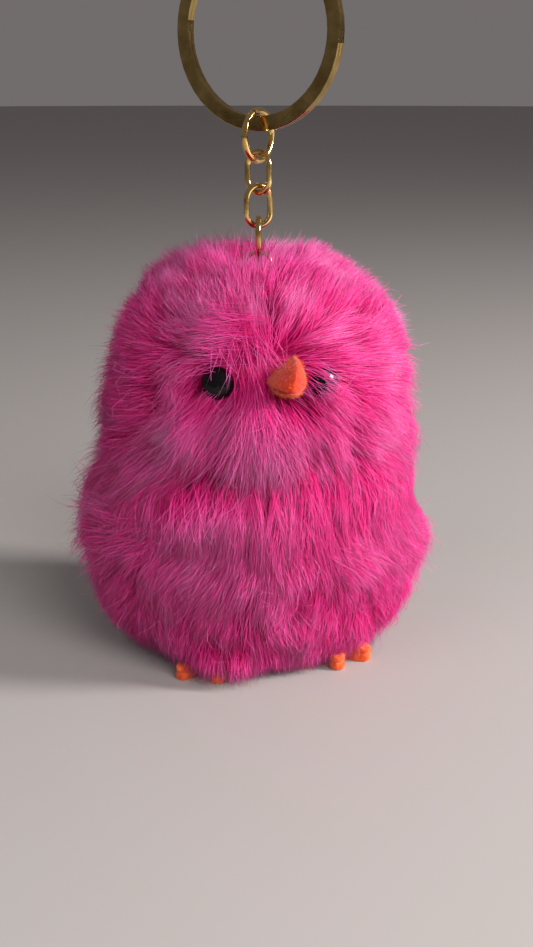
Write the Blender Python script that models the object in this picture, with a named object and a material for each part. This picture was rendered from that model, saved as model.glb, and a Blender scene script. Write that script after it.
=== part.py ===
"""Plush chick keychain: a stuffed faux-fur chick that hangs from a chain and a split ring.

The chick stands on the table (z = 0) and looks along -Y. Lengths are in metres, +Z is up.
"""

import math

import bmesh
import bpy
from mathutils import Matrix, Vector

MM = 0.001

# Fits between pieces
GAP = 0.3 * MM
LINK_GAP = 0.25 * MM
POCKET_GAP = 0.4 * MM

# Fur fabric: pile and backing together
PILE = 6.8 * MM

# Body, measured over the middle of its pile
BODY_HALF_WIDTH = 28.4 * MM
BODY_HALF_DEPTH = 26.6 * MM
BODY_HALF_HEIGHT = 18.4 * MM
BODY_POWER = 2.4
BODY_SETTLE = 0.4 * MM
BODY_CENTRE_Z = BODY_HALF_HEIGHT - BODY_SETTLE

# Neck, where the head is sewn to the body, a little under the top of the body's backing
NECK_SINK = 1.6 * MM
NECK_Z = BODY_CENTRE_Z + BODY_HALF_HEIGHT - PILE - NECK_SINK
NECK_CREASE = 1.6 * MM
NECK_CREASE_SPREAD = 2.2 * MM
NECK_THREAD_RADIUS = 0.35 * MM

# Head, measured over the middle of its pile
HEAD_HALF_WIDTH = 24.8 * MM
HEAD_HALF_DEPTH = 23.3 * MM
HEAD_HALF_HEIGHT = 27.3 * MM
HEAD_POWER = 2.6
HEAD_ABOVE_NECK = 10.0 * MM
HEAD_CENTRE_Z = NECK_Z + HEAD_ABOVE_NECK
CROWN_OPENING = 5.2 * MM
CROWN_THROAT = 4.3 * MM

# Base panel
BASE_HALF_WIDTH = 14.0 * MM
BASE_THICKNESS = 4.0 * MM
BASE_EDGE = 0.6 * MM

# Eyes with a stem and a locking washer
EYE_RADIUS = 2.5 * MM
EYE_DOME = 1.7 * MM
EYE_RIM = 0.6 * MM
EYE_STEM_RADIUS = 0.8 * MM
EYE_STEM_PAST_WASHER = 1.2 * MM
EYE_SPACING = 17.3 * MM
EYE_OFFSET = -0.65 * MM
EYE_Z = HEAD_CENTRE_Z + 10.5 * MM
EYE_SINK = 0.3 * MM
WASHER_RADIUS = 2.4 * MM
WASHER_THICKNESS = 0.9 * MM

# Felt beak
BEAK_Z = EYE_Z - 0.5 * MM
BEAK_OFFSET = 1.6 * MM
BEAK_SINK = 3.4 * MM
BEAK_UPPER_HALF_WIDTH = 2.9 * MM
BEAK_UPPER_HEIGHT = 4.1 * MM
BEAK_UPPER_LENGTH = 7.6 * MM
BEAK_LOWER_HALF_WIDTH = 2.5 * MM
BEAK_LOWER_HEIGHT = 1.2 * MM
BEAK_LOWER_LENGTH = 7.0 * MM
BEAK_TIP_POWER = 2.3

# Felt feet: an upper layer on a sole layer
LEFT_FOOT_PLACE = (9.7 * MM, -9.5 * MM)
LEFT_FOOT_TURN = 8.0
RIGHT_FOOT_PLACE = (-9.1 * MM, -12.2 * MM)
RIGHT_FOOT_TURN = 1.0
FOOT_HEEL = 3.2 * MM
FOOT_REACH = 8.4 * MM
TOE_SPREAD = 46.0
TOE_WIDTH = 15.0
TOE_BLUNTNESS = 3
FELT = 1.4 * MM
FELT_EDGE = 0.45 * MM

# Cord loop sewn into the crown
LOOP_SINK = 3.05 * MM
LOOP_TOP = HEAD_CENTRE_Z + HEAD_HALF_HEIGHT - LOOP_SINK
LOOP_HEIGHT = 9.0 * MM
LOOP_WIDTH = 3.5 * MM
LOOP_CORD = 0.9 * MM
LOOP_BORE = 2.5 * MM

# Chain, from the crown upwards: outer height, outer width, wire, and the way each piece faces
RING_SIZE = 4.9 * MM
RING_WIRE = 0.6 * MM
LINK_HEIGHT = 7.3 * MM
LINK_WIDTH = 5.1 * MM
LINK_WIRE = 0.95 * MM
CONNECTOR_SIZE = 8.6 * MM
CONNECTOR_WIRE = 1.1 * MM
CONNECTOR_SLIT = 0.3 * MM
CONNECTOR_SLIT_TURN = 24.0
LOOP_FACING = 83.0
RING_FACING = -7.0
LINK_3_FACING = 83.0
LINK_2_FACING = 20.0
LINK_1_FACING = -43.0
CONNECTOR_FACING = 49.0

# Split ring: a flat wire wound into two layers
SPLIT_RADIUS = 15.0 * MM
SPLIT_BAND = 2.3 * MM
SPLIT_WIRE = 0.72 * MM
SPLIT_LAYER_GAP = 0.1 * MM
SPLIT_EDGE = 0.15 * MM
SPLIT_STEP_START = 60.0
SPLIT_STEP = 30.0
SPLIT_FACING = -41.0

PROFILE_STEPS = 12
HALF_TURN_STEPS = 18
OUTLINE_STEPS = 60
RIGHT_ANGLE = math.pi / 2


def clear_scene():
    for obj in list(bpy.data.objects):
        bpy.data.objects.remove(obj, do_unlink=True)


def material(name, colour, roughness, metallic=0.0):
    made = bpy.data.materials.new(name)
    made.use_nodes = True
    shader = made.node_tree.nodes["Principled BSDF"]
    shader.inputs["Base Color"].default_value = (*colour, 1.0)
    shader.inputs["Roughness"].default_value = roughness
    shader.inputs["Metallic"].default_value = metallic
    made.diffuse_color = (*colour, 1.0)
    return made


def finish_mesh(name, bm, look, location=(0, 0, 0)):
    """Makes an object of the bmesh, smooth but for its real edges."""
    bmesh.ops.recalc_face_normals(bm, faces=bm.faces)
    mesh = bpy.data.meshes.new(name)
    bm.to_mesh(mesh)
    bm.free()
    mesh.shade_smooth()
    mesh.set_sharp_from_angle(angle=math.radians(35))
    mesh.materials.append(look)
    obj = bpy.data.objects.new(name, mesh)
    obj.location = location
    bpy.context.collection.objects.link(obj)
    return obj


def turned(profile, closed, sweep=2 * math.pi, steps=2 * HALF_TURN_STEPS):
    """Spins (radius, height) points about Z. A part turn gets flat ends."""
    bm = bmesh.new()
    verts = [bm.verts.new((r, 0, z)) for r, z in profile]
    edges = [bm.edges.new(pair) for pair in zip(verts, verts[1:])]
    if closed:
        edges.append(bm.edges.new((verts[-1], verts[0])))
    bmesh.ops.spin(bm, geom=verts + edges, cent=(0, 0, 0), axis=(0, 0, 1), angle=sweep, steps=steps)
    bmesh.ops.remove_doubles(bm, verts=bm.verts, dist=1e-7)
    ends = [edge for edge in bm.edges if edge.is_boundary]
    if ends:
        bmesh.ops.edgeloop_fill(bm, edges=ends)
    return bm


def cut(obj, cutter):
    """Takes the cutter out of the object."""
    cutter.hide_render = True
    cutter.display_type = "WIRE"
    hole = obj.modifiers.new("cut_" + cutter.name, "BOOLEAN")
    hole.operation = "DIFFERENCE"
    hole.object = cutter


def bulge(z, centre, half_height, power):
    """The share of its full width that a rounded form has at a height."""
    share = abs((z - centre) / half_height) ** power
    return max(0.0, 1.0 - share) ** (1.0 / power)


def crease(z):
    return NECK_CREASE * math.exp(-(((z - NECK_Z) / NECK_CREASE_SPREAD) ** 2))


def height_at(radius, centre, half_height, half_width, power, way):
    """The height, above or below the centre, at which a rounded form has a radius."""
    share = 1.0 - (radius / half_width) ** power
    return centre + way * half_height * share ** (1.0 / power)


def spread(start, end, steps):
    """Heights from start to end, closest together near both."""
    turns = [math.pi * step / steps for step in range(steps + 1)]
    return [start + (end - start) * (1 - math.cos(turn)) / 2 for turn in turns]


def head_radius(z, inset=0.0):
    half_width = HEAD_HALF_WIDTH - inset
    return half_width * bulge(z, HEAD_CENTRE_Z, HEAD_HALF_HEIGHT - inset, HEAD_POWER)


def body_radius(z, inset=0.0):
    half_width = BODY_HALF_WIDTH - inset
    return half_width * bulge(z, BODY_CENTRE_Z, BODY_HALF_HEIGHT - inset, BODY_POWER)


def head_height(radius, inset):
    half_width = HEAD_HALF_WIDTH - inset
    return height_at(radius, HEAD_CENTRE_Z, HEAD_HALF_HEIGHT - inset, half_width, HEAD_POWER, 1)


def body_height(radius, inset, way):
    half_height = BODY_HALF_HEIGHT - inset
    half_width = BODY_HALF_WIDTH - inset
    return height_at(radius, BODY_CENTRE_Z, half_height, half_width, BODY_POWER, way)


def head_shell():
    """Outside from the neck up to the crown's opening, then inside back down."""
    low = NECK_Z + GAP / 2
    outer = [
        (head_radius(z) - crease(z), z)
        for z in spread(low, head_height(CROWN_OPENING, 0), PROFILE_STEPS + 4)
    ]
    inner = [
        (head_radius(z, PILE), z) for z in spread(low, head_height(CROWN_THROAT, PILE), PROFILE_STEPS)
    ]
    return outer + inner[::-1]


def body_shell():
    """Outside from the neck down to the base panel's hole, then inside back up."""
    top = NECK_Z - GAP / 2
    hole = BASE_HALF_WIDTH + GAP
    outer_low = body_height(hole, 0, -1)
    inner_low = body_height(hole, PILE, -1)
    outer = [(body_radius(z) - crease(z), z) for z in spread(top, outer_low, PROFILE_STEPS + 4)]
    inner = [(body_radius(z, PILE), z) for z in spread(top, inner_low, PROFILE_STEPS)]
    return outer + inner[::-1]


def half_panels(name, profile, half_width, half_depth, look):
    """The front and the back panel, split along the side seams."""
    panels = {}
    for side, way in (("front", -1), ("back", 1)):
        bm = turned(profile, closed=True, sweep=math.pi, steps=HALF_TURN_STEPS)
        scale = Vector((1, way * half_depth / half_width, 1))
        bmesh.ops.scale(bm, vec=scale, verts=bm.verts)
        panel = finish_mesh(f"{name}_{side}_panel", bm, look, (0, way * GAP / 2, 0))
        panels[side] = panel
    return panels


def head_stuffing(look):
    """Fills the head, with a bore for the cord loop and a step round the neck's thread."""
    inset = PILE + GAP
    low = NECK_Z + GAP / 2
    shoulder = head_radius(low, inset) - 4 * NECK_THREAD_RADIUS
    step = low + 4 * NECK_THREAD_RADIUS
    crown = head_height(LOOP_BORE, inset)
    side = [(head_radius(z, inset), z) for z in spread(step, crown, PROFILE_STEPS)]
    bore_floor = LOOP_TOP - LOOP_HEIGHT - GAP
    bore = [(LOOP_BORE, bore_floor), (0, bore_floor)]
    profile = [(0, low), (shoulder, low), (shoulder, step)] + side + bore
    bm = turned(profile, closed=False)
    bmesh.ops.scale(bm, vec=(1, HEAD_HALF_DEPTH / HEAD_HALF_WIDTH, 1), verts=bm.verts)
    return finish_mesh("head_stuffing", bm, look)


def body_stuffing(look):
    """Fills the body, down to the base panel."""
    inset = PILE + GAP
    top = NECK_Z - GAP / 2
    rim = BASE_HALF_WIDTH - GAP
    side = [(body_radius(z, inset), z) for z in spread(top, body_height(rim, inset, -1), PROFILE_STEPS)]
    floor = BASE_THICKNESS + GAP
    bm = turned([(0, top)] + side + [(rim, floor), (0, floor)], closed=False)
    bmesh.ops.scale(bm, vec=(1, BODY_HALF_DEPTH / BODY_HALF_WIDTH, 1), verts=bm.verts)
    return finish_mesh("body_stuffing", bm, look)


def base_panel(look):
    """A flat plug of fur fabric that the chick stands on."""
    edge = BASE_HALF_WIDTH - BASE_EDGE
    side = [(edge, 0), (BASE_HALF_WIDTH, BASE_EDGE), (BASE_HALF_WIDTH, BASE_THICKNESS)]
    bm = turned([(0, 0)] + side + [(0, BASE_THICKNESS)], closed=False)
    bmesh.ops.scale(bm, vec=(1, BODY_HALF_DEPTH / BODY_HALF_WIDTH, 1), verts=bm.verts)
    return finish_mesh("base_panel", bm, look)


def neck_thread(look):
    """The stitch that closes the neck, lying on the body's top edge inside the head."""
    wire = NECK_THREAD_RADIUS
    radius = head_radius(NECK_Z, PILE) - 2 * wire
    centre = NECK_Z + GAP / 2 + 2 * wire
    turns = [math.tau * step / 8 for step in range(8)]
    profile = [(radius + wire * math.cos(turn), centre + wire * math.sin(turn)) for turn in turns]
    bm = turned(profile, closed=True, steps=40)
    bmesh.ops.scale(bm, vec=(1, HEAD_HALF_DEPTH / HEAD_HALF_WIDTH, 1), verts=bm.verts)
    return finish_mesh("neck_thread", bm, look)


def head_point(x, z):
    """A point on the front of the head's pile, and the way out from there."""
    half_height, power = HEAD_HALF_HEIGHT, HEAD_POWER
    size = bulge(z, HEAD_CENTRE_Z, half_height, power)
    y = -HEAD_HALF_DEPTH * math.sqrt(size**2 - (x / HEAD_HALF_WIDTH) ** 2)
    rise = (z - HEAD_CENTRE_Z) / half_height
    slope = math.copysign(abs(rise) ** (power - 1), rise) / half_height * size ** (2 - power)
    out = Vector((x / HEAD_HALF_WIDTH**2, y / HEAD_HALF_DEPTH**2, slope))
    return Vector((x, y, z)), out.normalized()


def eye_profile(grow, stem_end):
    """Dome, rim and stem from the front of the eye down, with the dome's pole at z = 0."""
    radius = EYE_RADIUS + grow
    dome = [
        (radius * math.sin(RIGHT_ANGLE * step / 6), -EYE_DOME * (1 - math.cos(RIGHT_ANGLE * step / 6)))
        for step in range(7)
    ]
    back = -EYE_DOME - EYE_RIM - grow
    stem = EYE_STEM_RADIUS + grow
    return dome + [(radius, back), (stem, back), (stem, stem_end), (0, stem_end)]


def eye(side, way, head_front, stuffing, looks):
    """One eye, its washer behind the backing, and the pockets that they sit in."""
    point, out = head_point(EYE_OFFSET + way * EYE_SPACING / 2, EYE_Z)
    seat = bpy.data.objects.new(f"eye_seat_{side}", None)
    seat.location = point - out * EYE_SINK
    seat.rotation_mode = "QUATERNION"
    seat.rotation_quaternion = out.to_track_quat("Z", "Y")
    bpy.context.collection.objects.link(seat)

    washer_top = EYE_SINK - PILE - 3 * GAP
    stem_end = washer_top - WASHER_THICKNESS - EYE_STEM_PAST_WASHER
    form = turned(eye_profile(0, stem_end), closed=False, steps=24)
    ball = finish_mesh(f"eye_{side}", form, looks["eye"])

    hole = EYE_STEM_RADIUS + GAP
    low = washer_top - WASHER_THICKNESS
    ring = [(hole, low), (WASHER_RADIUS, low), (WASHER_RADIUS, washer_top), (hole, washer_top)]
    form = turned(ring, closed=True, steps=24)
    washer = finish_mesh(f"eye_washer_{side}", form, looks["washer"])

    mouth = 2 * PILE
    pocket = eye_profile(POCKET_GAP, stem_end - GAP)
    pocket[0:7] = [(0, mouth), (EYE_RADIUS + POCKET_GAP, mouth)]
    form = turned(pocket, closed=False, steps=24)
    socket = finish_mesh(f"socket_{side}", form, looks["eye"])
    room = WASHER_RADIUS + POCKET_GAP
    top = washer_top + 2 * PILE
    hollow = [(0, top), (room, top), (room, low - GAP), (0, low - GAP)]
    form = turned(hollow, closed=False, steps=24)
    washer_room = finish_mesh(f"washer_room_{side}", form, looks["washer"])
    for piece in (ball, washer, socket, washer_room):
        piece.parent = seat
    cut(head_front, socket)
    cut(stuffing, socket)
    cut(stuffing, washer_room)


def beak_form(half_width, height, length, way):
    """Half of a blunt cone that points to -Y, above (way 1) or below (way -1) its flat side."""
    steps = 8
    shares = [math.sin(RIGHT_ANGLE * step / steps) for step in range(steps + 1)]
    curve = [((1 - share**BEAK_TIP_POWER) ** (1 / 1.6), share * length) for share in shares]
    bm = turned([(0, 0)] + curve, closed=False, sweep=math.pi, steps=12)
    bmesh.ops.scale(bm, vec=(half_width, way * height, 1), verts=bm.verts)
    bmesh.ops.rotate(bm, cent=(0, 0, 0), matrix=Matrix.Rotation(RIGHT_ANGLE, 3, "X"), verts=bm.verts)
    return bm


def beak(head_front, look):
    """Upper and lower felt pieces, set in a pocket in the pile."""
    face, _ = head_point(BEAK_OFFSET, BEAK_Z)
    root = face.y + BEAK_SINK
    halves = (
        ("beak_upper", BEAK_UPPER_HALF_WIDTH, BEAK_UPPER_HEIGHT, BEAK_UPPER_LENGTH, 1),
        ("beak_lower", BEAK_LOWER_HALF_WIDTH, BEAK_LOWER_HEIGHT, BEAK_LOWER_LENGTH, -1),
    )
    for name, half_width, height, length, way in halves:
        bm = beak_form(half_width, height, length, way)
        place = (BEAK_OFFSET, root, BEAK_Z + way * GAP / 2)
        finish_mesh(name, bm, look, place)
    half_width = max(BEAK_UPPER_HALF_WIDTH, BEAK_LOWER_HALF_WIDTH) + POCKET_GAP
    half_height = (BEAK_UPPER_HEIGHT + BEAK_LOWER_HEIGHT + GAP) / 2 + POCKET_GAP
    bm = bmesh.new()
    bmesh.ops.create_cone(bm, cap_ends=True, segments=24, radius1=1, radius2=1, depth=2 * PILE)
    bmesh.ops.scale(bm, vec=(half_width, half_height, 1), verts=bm.verts)
    bmesh.ops.rotate(bm, cent=(0, 0, 0), matrix=Matrix.Rotation(RIGHT_ANGLE, 3, "X"), verts=bm.verts)
    middle = BEAK_Z + (BEAK_UPPER_HEIGHT - BEAK_LOWER_HEIGHT) / 2
    pocket = finish_mesh("beak_pocket", bm, look, (BEAK_OFFSET, root + GAP - PILE, middle))
    cut(head_front, pocket)


def foot_outline(grow):
    """Heel and three toes about the heel's middle, pointing to -Y, moved out by grow all round."""
    points = []
    for step in range(OUTLINE_STEPS):
        angle = 360 * step / OUTLINE_STEPS - 180
        away = [abs(angle - toe) / TOE_WIDTH for toe in (-TOE_SPREAD, 0, TOE_SPREAD)]
        lobes = sum(math.exp(-(share**TOE_BLUNTNESS)) for share in away)
        reach = FOOT_HEEL + (FOOT_REACH - FOOT_HEEL) * min(1.0, lobes)
        turn = math.radians(angle)
        points.append(Vector((reach * math.sin(turn), -reach * math.cos(turn))))
    outline = []
    for before, point, after in zip(points[-1:] + points, points, points[1:] + points[:1]):
        along = (after - before).normalized()
        outline.append((point.x + grow * along.y, point.y - grow * along.x))
    return outline


def foot_layer(name, grow, low, high, place, turn, look):
    bm = bmesh.new()
    outline = [bm.verts.new((x, y, low)) for x, y in foot_outline(grow)]
    floor = bm.faces.new(outline)
    lifted = bmesh.ops.extrude_face_region(bm, geom=[floor], use_keep_orig=True)
    top = [item for item in lifted["geom"] if isinstance(item, bmesh.types.BMVert)]
    bmesh.ops.translate(bm, vec=(0, 0, high - low), verts=top)
    layer = finish_mesh(name, bm, look, (*place, 0))
    layer.rotation_euler.z = math.radians(turn)
    return layer


def round_top(layer, width):
    soft = layer.modifiers.new("soft_edge", "BEVEL")
    soft.width = width
    soft.segments = 1
    soft.limit_method = "ANGLE"
    soft.angle_limit = math.radians(60)


def foot(side, place, turn, panels, look):
    """Two layers of felt, and the room for them under the body."""
    sole = foot_layer(f"foot_{side}_sole", 0, 0, FELT, place, turn, look)
    upper = foot_layer(f"foot_{side}_upper", 0, FELT + GAP, 2 * FELT + GAP, place, turn, look)
    for layer in (sole, upper):
        round_top(layer, FELT_EDGE)
    room_top = 2 * FELT + 2 * GAP
    room = foot_layer(f"foot_room_{side}", POCKET_GAP, -FELT, room_top, place, turn, look)
    for panel in panels:
        cut(panel, room)


def loop_path(height, width, count=28):
    """Points of an upright loop with round ends, from its centre, anticlockwise from +X."""
    radius = width / 2
    rise = height / 2 - radius
    points = []
    for step in range(count):
        turn = math.tau * (step + 0.5) / count
        lift = math.copysign(rise, math.sin(turn))
        points.append((radius * math.cos(turn), 0, radius * math.sin(turn) + lift))
    return points


def wire_piece(name, points, wire, look, cyclic=True):
    """A round wire along the points."""
    curve = bpy.data.curves.new(name, "CURVE")
    curve.dimensions = "3D"
    curve.bevel_depth = wire / 2
    curve.bevel_resolution = 2
    curve.use_fill_caps = not cyclic
    spline = curve.splines.new("POLY")
    spline.points.add(len(points) - 1)
    for spot, point in zip(spline.points, points):
        spot.co = (*point, 1)
    spline.use_cyclic_u = cyclic
    spline.use_smooth = True
    curve.materials.append(look)
    piece = bpy.data.objects.new(name, curve)
    bpy.context.collection.objects.link(piece)
    return piece


def hang(piece, centre_z, pivot_z, facing):
    """Puts a piece's origin on its joint's axis, with its shape's middle at centre_z."""
    piece.data.transform(Matrix.Translation((0, 0, centre_z - pivot_z)))
    piece.location.z = pivot_z
    piece.rotation_euler.z = math.radians(facing)


def connector_path():
    """A round jump ring, open by a narrow slit a little to one side of its top."""
    radius = (CONNECTOR_SIZE - CONNECTOR_WIRE) / 2
    slit = CONNECTOR_SLIT / radius
    start = RIGHT_ANGLE + math.radians(CONNECTOR_SLIT_TURN) + slit / 2
    count = 36
    turns = [start + (math.tau - slit) * step / count for step in range(count + 1)]
    return [(radius * math.cos(turn), 0, radius * math.sin(turn)) for turn in turns]


def split_ring(name, look):
    """Flat wire wound twice, with a step from the one layer to the other."""
    middle = SPLIT_RADIUS - SPLIT_BAND / 2
    half_band, half_wire = SPLIT_BAND / 2, SPLIT_WIRE / 2
    pitch = SPLIT_WIRE + SPLIT_LAYER_GAP
    flat = 360.0 - SPLIT_STEP
    edge = SPLIT_EDGE
    corners = [
        (half_band - edge, -half_wire), (half_band, edge - half_wire),
        (half_band, half_wire - edge), (half_band - edge, half_wire),
        (edge - half_band, half_wire), (-half_band, half_wire - edge),
        (-half_band, edge - half_wire), (edge - half_band, -half_wire),
    ]
    every = 7.5
    count = round((2 * flat + SPLIT_STEP) / every)
    bm = bmesh.new()
    rows = []
    for step in range(count + 1):
        run = every * step
        share = min(1.0, max(0.0, (run - flat) / SPLIT_STEP))
        layer = pitch * (0.5 - 0.5 * math.cos(math.pi * share)) - pitch / 2
        turn = math.radians(SPLIT_STEP_START + SPLIT_STEP + run)
        row = []
        for out, up in corners:
            reach = middle + out
            row.append(bm.verts.new((reach * math.cos(turn), layer + up, reach * math.sin(turn))))
        rows.append(row)
    for row, following in zip(rows, rows[1:]):
        for corner in range(len(corners)):
            beside = (corner + 1) % len(corners)
            bm.faces.new((row[corner], row[beside], following[beside], following[corner]))
    bm.faces.new(rows[0])
    bm.faces.new(rows[-1])
    return finish_mesh(name, bm, look)


def chain(cord_look, brass):
    """The cord loop, and the chain that rises from it, each piece hooked under the one below's top."""
    route = loop_path(LOOP_HEIGHT - LOOP_CORD, LOOP_WIDTH - LOOP_CORD)
    loop = wire_piece("hang_loop", route, LOOP_CORD, cord_look)
    middle = LOOP_TOP - LOOP_HEIGHT / 2
    hang(loop, middle, middle, LOOP_FACING)

    top, bar = LOOP_TOP, LOOP_CORD
    pieces = (
        ("plush_ring", RING_SIZE, RING_SIZE, RING_WIRE, RING_FACING),
        ("chain_link_3", LINK_HEIGHT, LINK_WIDTH, LINK_WIRE, LINK_3_FACING),
        ("chain_link_2", LINK_HEIGHT, LINK_WIDTH, LINK_WIRE, LINK_2_FACING),
        ("chain_link_1", LINK_HEIGHT, LINK_WIDTH, LINK_WIRE, LINK_1_FACING),
        ("connector_ring", CONNECTOR_SIZE, CONNECTOR_SIZE, CONNECTOR_WIRE, CONNECTOR_FACING),
        ("split_ring", 2 * SPLIT_RADIUS, 2 * SPLIT_RADIUS, SPLIT_BAND, SPLIT_FACING),
    )
    for name, height, width, wire, facing in pieces:
        low = top - bar - LINK_GAP - wire
        if name == "split_ring":
            piece = split_ring(name, brass)
        elif name == "connector_ring":
            piece = wire_piece(name, connector_path(), wire, brass, cyclic=False)
        else:
            piece = wire_piece(name, loop_path(height - wire, width - wire), wire, brass)
        hang(piece, low + height / 2, top - bar / 2, facing)
        top, bar = low + height, wire


def main():
    clear_scene()
    fur = material("fur_fabric", (0.78, 0.03, 0.25), 0.9)
    filling = material("polyester_filling", (0.9, 0.9, 0.88), 0.95)
    felt = material("orange_felt", (0.85, 0.19, 0.03), 0.95)
    cord = material("pink_cord", (0.70, 0.05, 0.25), 0.85)
    brass = material("brass", (0.80, 0.58, 0.24), 0.25, 1.0)
    looks = {
        "eye": material("black_plastic", (0.01, 0.01, 0.01), 0.08),
        "washer": material("white_plastic", (0.8, 0.8, 0.8), 0.4),
    }

    head = half_panels("head", head_shell(), HEAD_HALF_WIDTH, HEAD_HALF_DEPTH, fur)
    body = half_panels("body", body_shell(), BODY_HALF_WIDTH, BODY_HALF_DEPTH, fur)
    base = base_panel(fur)
    stuffing = head_stuffing(filling)
    body_stuffing(filling)
    neck_thread(cord)
    for side, way in (("right", -1), ("left", 1)):
        eye(side, way, head["front"], stuffing, looks)
    foot("right", RIGHT_FOOT_PLACE, RIGHT_FOOT_TURN, (body["front"], base), felt)
    foot("left", LEFT_FOOT_PLACE, LEFT_FOOT_TURN, (body["front"], base), felt)
    beak(head["front"], felt)
    chain(cord, brass)


main()
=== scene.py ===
"""Looks of the plush chick keychain: long-pile fur, felt beak and feet, domed eyes and brass chain.

Lengths are in metres. The chick looks along -Y and stands on z = 0.
"""

import math

import bmesh
import bpy
import numpy as np
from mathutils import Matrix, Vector


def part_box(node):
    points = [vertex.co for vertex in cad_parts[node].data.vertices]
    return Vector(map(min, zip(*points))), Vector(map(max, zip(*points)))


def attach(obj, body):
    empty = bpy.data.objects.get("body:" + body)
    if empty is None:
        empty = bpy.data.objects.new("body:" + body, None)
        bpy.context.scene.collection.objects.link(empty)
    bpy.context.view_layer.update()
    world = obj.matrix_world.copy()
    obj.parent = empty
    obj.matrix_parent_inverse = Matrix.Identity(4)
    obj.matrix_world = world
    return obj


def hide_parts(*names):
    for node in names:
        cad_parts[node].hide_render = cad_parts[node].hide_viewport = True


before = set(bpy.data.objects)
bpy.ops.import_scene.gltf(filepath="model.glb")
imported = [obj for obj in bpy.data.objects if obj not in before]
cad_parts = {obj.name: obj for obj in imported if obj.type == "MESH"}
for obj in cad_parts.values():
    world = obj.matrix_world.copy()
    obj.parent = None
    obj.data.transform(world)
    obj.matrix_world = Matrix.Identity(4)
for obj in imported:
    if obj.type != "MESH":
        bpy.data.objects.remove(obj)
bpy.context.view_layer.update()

MM = 0.001
RANDOM = np.random.default_rng(20)

# The camera, at the height of the split ring's lower edge and close to the chick
VIEW_AZIMUTH = -7.0
VIEW_DISTANCE = 228.7 * MM
VIEW_HEIGHT = 94.4 * MM
VIEW_PITCH = 16.1
VIEW_TURN = 0.32
VIEW_ANGLE = 36.63

# The outline of the pile, as in the CAD model
HEAD_POWER = 2.6
BODY_POWER = 2.4
BODY_HALF_HEIGHT = 18.4 * MM
BODY_SETTLE = 0.4 * MM
HEAD_ABOVE_NECK = 10.0 * MM
NECK_CREASE = 1.6 * MM
NECK_CREASE_SPREAD = 2.2 * MM

# Fur: depth of the backing under the middle of the pile, and the hairs on it
ROOT_DEPTH = 5.4 * MM
HAIR_LENGTH = 11.2 * MM
HAIR_STAND = 2.7 * MM
HAIR_WIDTH = 0.09 * MM
STRAY_WIDTH = 0.08 * MM
HAIR_RINGS = 4
CLUMP_SPREAD = 1.0 * MM
HAIRS_IN_CLUMP = 25
CLUMPS_HEAD = 3600
CLUMPS_BODY = 3700
TUFTS_HEAD = 150
TUFTS_BODY = 150
STRAYS = 1500
FRINGE_CLUMPS = 320
FRINGE_TURN = 1.7
FRINGE_REACH = 20.5 * MM
FRINGE_OVER_FOOT = 6.0 * MM
FRINGE_BETWEEN_FEET = -1.8 * MM
FRINGE_TONE = 0.38
FRINGE_HAIRS = 22
DRAPE_CLUMPS = 900
DRAPE_TONE = 0.46
DRAPE_HAIRS = 20
SECTORS = 10
COLOUR_COLUMNS = 64

# How far the hairs lean from straight out, in radians, and what changes it
LEAN = 0.58
LEAN_ON_FACE = 0.30
LEAN_UNEVEN = 0.20
LEAN_LESS_IN_TUFTS = 0.45
LEAN_LESS_ON_CROWN = 0.35
LEAN_LESS_ON_SHOULDER = 0.25
LEAN_OVER_NECK = 0.15
LEAN_UNDER_NECK = 0.30
LEAN_SHARE_LOST_LOW = 0.75
LEAN_FLAT = 1.35
LEAN_LEAST = 0.08

# How much longer or shorter the hairs are in some places, as shares of their length
LENGTH_UNEVEN = 0.12
LONGER_IN_TUFTS = 0.10
LONGER_OVER_NECK = 0.22
LONGER_ON_SHOULDER = 0.35
LONGER_ON_CROWN = 0.15
SHORTER_PARTED = 0.60
SHORTEST_ON_FACE = 0.45

# The short hairs under the others, and how hairs draw together and curl
UNDER_SHARE = 0.25
UNDER_LENGTH = 0.78
UNDER_SPREAD = 0.5
UNDER_FRIZZ = 0.34
# The short under hairs are darker: painted shade under the longer hairs
UNDER_PAINTED_SHADE = 0.15
FRIZZ = 0.13
GATHER_MOST = 0.75
TUFT_PULLS = (0.15, 0.60)
LOCK_FRIZZ = np.array([0.18, 0.05, 0.10])
LOCK_DROOP = np.array([0, 0.14, -0.05])
CHAIN_CLEAR = 1.9 * MM

# Paleness, from 0 to 1: in the middle, and what changes it
TONE = 0.42
TONE_UNEVEN = 0.12
# Paler on raised tufts and darker in flat partings: painted highlight and painted shade
TONE_PAINTED_ON_TUFTS = 0.42

# Shifts, in metres, at which the same waves give another pattern
LENGTH_SHIFT = 0.01
TONE_SHIFT = 0.02
LOOSE_SHIFT = 0.03

# How far out the tips reach: height as a share of the head's, radius as a share of the body's half-width
TIP_OUTLINE = (
    (-0.02, 0.68), (0.0, 0.73), (0.035, 0.80), (0.12, 0.94), (0.185, 1.01), (0.255, 1.04),
    (0.37, 1.05), (0.42, 1.02), (0.455, 0.95), (0.49, 0.92), (0.55, 0.935), (0.675, 0.92),
    (0.77, 0.875), (0.865, 0.77), (0.93, 0.67), (0.97, 0.61), (1.02, 0.46), (1.06, 0.28), (1.09, 0.02),
)
LEAN_TO_RIGHT = -1.0 * MM


def smooth(low, high, value):
    share = np.clip((value - low) / (high - low), 0.0, 1.0)
    return share * share * (3 - 2 * share)


def near(value, centre, spread):
    """1 at the centre, fading to 0 on both sides of it."""
    return np.exp(-(((value - centre) / spread) ** 2))


def unit(vectors):
    return vectors / np.maximum(np.linalg.norm(vectors, axis=-1, keepdims=True), 1e-12)


def along_surface(vectors, normals):
    """The part of each vector that lies along the surface."""
    return vectors - normals * np.sum(vectors * normals, axis=-1, keepdims=True)


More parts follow.
